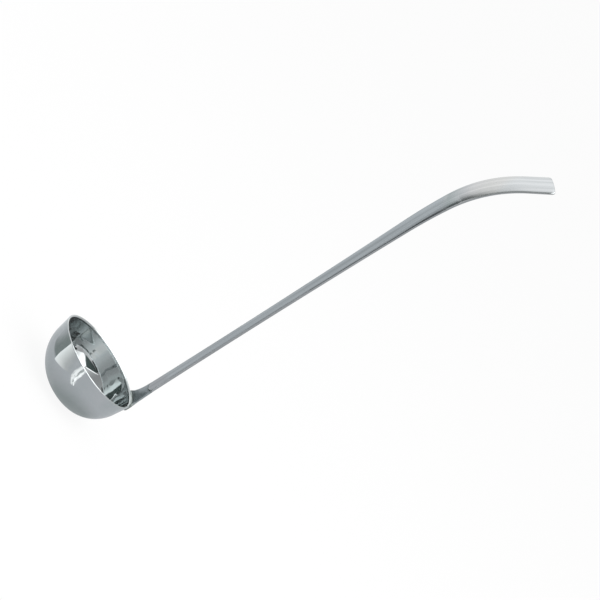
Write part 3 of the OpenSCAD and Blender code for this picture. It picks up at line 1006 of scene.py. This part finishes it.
# What lies on the table round the ladle, layer on layer, and shows in the bowl and the handle. Each card
# has its height above the floor and its two edges in millimetres, and its cover's name, stops and noise
SHADE_CENTRE = (12, -15)
TABLE_CARDS = (
    ("table_cloth", 0.2, [(-2200, -1800), (1600, -1800)], [(-2200, 2200), (1600, 2200)],
     "grey_table_cloth", [(0.0, GREY, 1.0), (0.5, GREY, 1.0), (1.0, GREY, 1.12)]),
    ("shade_under_bowl", 0.3, arc_points(0, 360, 1, SHADE_CENTRE, 48),
     arc_points(0, 360, 62, SHADE_CENTRE, 48),
     "shade_under_the_bowl", [(0.0, SHADE_GREY, 1.0), (0.3, SHADE_GREY, 1.02), (1.0, GREY, 0.95, 0.0)]),
    ("pale_far_cloth", 0.35, [(-140, 30), (60, 30)], [(-140, 130), (60, 130)],
     "pale_far_cloth", [(0.0, PALE_GREY, 0.95, 0.0), (0.4, PALE_GREY, 1.0), (1.0, "#DDE0E2", 1.1)]),
    ("white_paper_sheet", 0.5, [(-41, -58), (-600, -72)], [(-43, -11), (-600, -11)],
     "white_paper", [(0.0, WHITE, 0.6, 0.0), (0.35, WHITE, 0.72, 0.8), (0.6, WHITE, 0.95),
                     (0.78, WHITE, 1.15), (0.95, WHITE, 1.35), (1.0, WHITE, 1.35)], 0.12, 3.0),
    ("black_cloth_near", 0.5, [(-49, -11), (-330, -11)], [(-70, 62), (-330, 110)],
     "black_cloth", [(0.0, FADED_CLOTH, 1.0, 0.95), (0.2, "#8B9392", 1.0, 0.95),
                     (0.45, "#A0A6A6", 1.0, 0.85), (1.0, GREY, 1.0, 0.0)], 0.1, 3.0),
    ("black_cloth_fringe", 0.45, [(-44, -11), (-48, 4), (-58, 30)], [(-52, -11), (-58, 4), (-68, 30)],
     "black_cloth_fringe", [(0.0, FADED_CLOTH, 1.0, 0.0), (1.0, FADED_CLOTH, 1.0, 0.9)]),
    ("crumpled_paper_sheet", 0.6, [(-14, -58), (-24, -71), (-31, -82), (-42, -110), (-66, -190)],
     [(-20, -50), (-36, -58), (-46, -62), (-62, -84), (-112, -163)],
     "crumpled_white_paper", [(0.0, WHITE, 1.0, 0.0), (0.12, WHITE, 1.6), (0.3, WHITE, 1.75),
                              (0.4, PAPER_FOLD, 1.0), (0.47, PAPER_FOLD, 1.0), (0.55, WHITE, 1.5),
                              (0.75, WHITE, 1.4), (0.9, WHITE, 1.2), (1.0, WHITE, 1.1, 0.0)], 0.9, 9.0),
    ("side_paper_sheet", 0.5, [(70, -262), (520, -1290)], [(150, -230), (720, -1190)],
     "side_paper", [(0.0, WHITE, 0.56, 0.0), (0.1, WHITE, 0.58), (1.0, WHITE, 0.58)]),
)
for name, layer, low_edge, high_edge, cover, stops, *noise in TABLE_CARDS:
    floor_card(name, low_edge, high_edge, layer, card_cover(cover, stops, *noise))

# The table's streaks, which run along the handle's face, in fans one behind the other. Each has where it
# starts and ends, in millimetres, how light its four pale streaks are and how light its dark end is
STREAK_LAYER = 0.4
STREAK_FANS = (
    (220, 320, 0.86, 0.96, 1.03, 0.97, 0.85),
    (320, 480, 0.82, 0.97, 1.12, 0.9, 0.8),
    (480, 900, 0.98, 0.96, 1.06, 1.0, 0.4),
    (900, 1250, 1.0, 0.98, 0.97, 1.08, 0.22),
    (1250, 1600, 1.04, 1.07, 1.0, 1.08, 0.18),
    (1600, 2400, 1.1, 1.17, 1.05, 1.08, 0.15),
)
FAN_START, FAN_END, FAR_FAN_END = 96, 140, 182
for number, (near, far, first, second, third, fourth, dark) in enumerate(STREAK_FANS, 1):
    name = "streaked_table_%d" % number
    levels = (
        (0.1, 1.12), (0.32, 1.3 * first), (0.375, 1.32 * first), (0.42, 1.05 * second),
        (0.455, 1.05 * second), (0.5, 1.3 * third), (0.54, 1.3 * fourth), (0.585, 1.08), (0.628, 1.06),
        (0.65, dark * 0.7), (0.75, dark * 0.5),
    )
    cover = card_cover(name, [
        (0.0, TABLE_STREAK, 1.0, 0.0), *((share, TABLE_STREAK, level) for share, level in levels),
        (1.0, CLOTH, 0.1 + 0.6 * dark)])
    fan_card(name, FAN_START, FAN_END, near, far, STREAK_LAYER, cover)
cloth_end = card_cover("black_cloth_end", [(0.0, CLOTH, 0.6), (1.0, CLOTH, 0.5)])
fan_card("black_cloth_far", FAN_END, FAR_FAN_END, 480, 2400, STREAK_LAYER, cloth_end)

# How light the studio's wall is, by the azimuth
WALL_COLOUR = "#FDFDFE"
WALL_LEVELS = (
    (-180, 0.6), (-165, 0.45), (-150, 0.38), (-138, 0.38), (-128, 0.5), (-112, 0.75), (-92, 0.82),
    (-75, 0.65), (-62, 0.5), (-52, 0.55), (-43, 0.88), (-30, 0.85), (-15, 0.62), (0, 0.58), (15, 0.65),
    (30, 0.7), (45, 0.78), (60, 0.9), (75, 1.04), (90, 1.2), (105, 1.5), (120, 1.4), (135, 1.2),
    (150, 1.05), (165, 0.8), (180, 0.6),
)
wall_light = card_cover("studio_wall", [
    ((azimuth + 180) / 360, WALL_COLOUR, level) for azimuth, level in WALL_LEVELS])
sky_card("studio_wall", ring_of_directions(-3), ring_of_directions(62), 4.8, wall_light, True)
overhead_light = card_cover("overhead_silk", [
    (0.0, WHITE, 1.8, 0.6), (0.12, WHITE, 3.2), (0.5, WHITE, 4.4), (1.0, WHITE, 4.4)])
sky_card("overhead_silk", ring_of_directions(55), ring_of_directions(89), 2.5, overhead_light)

# Behind the handle: a paper screen that its bend mirrors, and dark cloth and board for its near edge
handle_screen = card_cover("paper_screen_behind_handle", [
    (0.0, "#E6EEEF", 0.85), (0.12, "#E6EEEF", 0.92), (0.22, "#EDF2F3", 1.02),
    (0.35, "#F6F6F8", 1.15), (0.5, "#FFFCFC", 1.3), (0.7, WARM_PAPER, 1.38),
    (0.87, WARM_PAPER, 1.44), (1.0, WARM_PAPER, 1.46, 0.0)])
sky_card("paper_screen_behind_handle", [(92, -4), (110, -4), (130, -4)], [(92, 26), (110, 26), (130, 26)],
         2.6, handle_screen)
low_cloth = card_cover("dark_cloth_behind_handle", [
    (0.0, DARK_GREY, 0.8, 0.0), (0.13, CLOTH, 0.8, 0.9), (0.25, CLOTH, 0.5), (0.8, CLOTH, 0.5),
    (1.0, CLOTH, 0.6, 0.0)])
sky_card("dark_cloth_behind_handle", [(121.3, -5), (132, -5), (144, -5)], [(122, 6.4), (131, 6.4), (144, 3)],
         2.5, low_cloth, True)
high_board = card_cover("dark_board_on_wall", plain_stops(BLACK_BOARD))
sky_card("dark_board_on_wall", [(134, 20.5), (150, 19.5), (178, 17.6), (190, 17.4)],
         [(134, 24), (150, 23.5), (178, 21.5), (190, 20)], 2.45, high_board)

# A dark card close behind the bend. Its edges are directions from runs along the strip
BEND_DIRECTIONS = (
    (275, (116.0, -2.2), (130.5, 0.5)), (282, (116.0, 1.8), (131.0, 4.6)),
    (291, (115.8, 6.9), (133.5, 11.8)), (300, (114.8, 11.9), (134.5, 19.0)),
    (310, (112.8, 17.1), (134.0, 26.5)), (320, (110.4, 21.7), (131.0, 33.4)),
    (331, (108.0, 23.9), (129.0, 38.0)), (340, (107.5, 24.2), (129.0, 39.0)),
    (352, (107.5, 24.2), (129.0, 39.0)),
)
bend_board = card_cover("dark_board_behind_bend", [
    (0.0, CLOTH, 1.0, 0.0), (0.28, CLOTH, 0.9, 0.1), (0.44, CLOTH, 0.9, 0.36), (0.58, CLOTH, 0.8, 0.85),
    (1.0, CLOTH, 0.8)])
close_card("dark_board_behind_bend", BEND_DIRECTIONS, 0.9, bend_board)

# Before the bowl: a softbox, and a black flag with its taped edge, its foot and its clip
white_silk = card_cover("white_silk", [
    (0.0, WHITE, 0.95), (0.16, WHITE, 1.2), (0.28, WHITE, 1.5), (0.42, WHITE, 1.85),
    (1.0, WHITE, 1.9)], drift=0.15, grain=3.0)
sky_card("front_softbox", [
    (-49, 28.5), (-56, 26), (-64, 24), (-69, 21.5), (-74, 20), (-82, 24), (-88, 30), (-94, 33), (-100, 37),
], [
    (-50, 32), (-57, 34), (-64, 37), (-70, 39), (-75, 41), (-82, 44), (-88, 45), (-94, 44), (-100, 42),
], 2.2, white_silk, True)
flag_board = card_cover("black_card_board", [
    (0.0, "#465351", 1.35), (0.5, "#3A4745", 1.0), (1.0, "#222D2B", 1.0)], drift=0.3, grain=3.0)
sky_card("dark_flag", [(-80, 18.5), (-82, 21), (-103, 37.5)], [(-81, 18.4), (-108, 17.5), (-136, 16.5)],
         2.1, flag_board)
flag_foot = card_cover("black_board_foot", plain_stops(BLACK_BOARD))
sky_card("dark_flag_foot", [(-101, 10.8), (-131, 9.6)], [(-101, 15.5), (-131, 17.2)], 2.12, flag_foot)
sky_card("small_dark_clip", [(-43, 22.5), (-51, 22)], [(-43, 27), (-51, 27)], 2.15, flag_foot)
edge_tape = card_cover("flag_edge_tape", [(0.0, WHITE, 1.5), (0.4, WHITE, 2.4), (1.0, WHITE, 2.6)])
sky_card("flag_edge", [(-137, 16.8), (-103, 38.1)], [(-137, 18.4), (-103, 39.8)], 2.09, edge_tape, True)
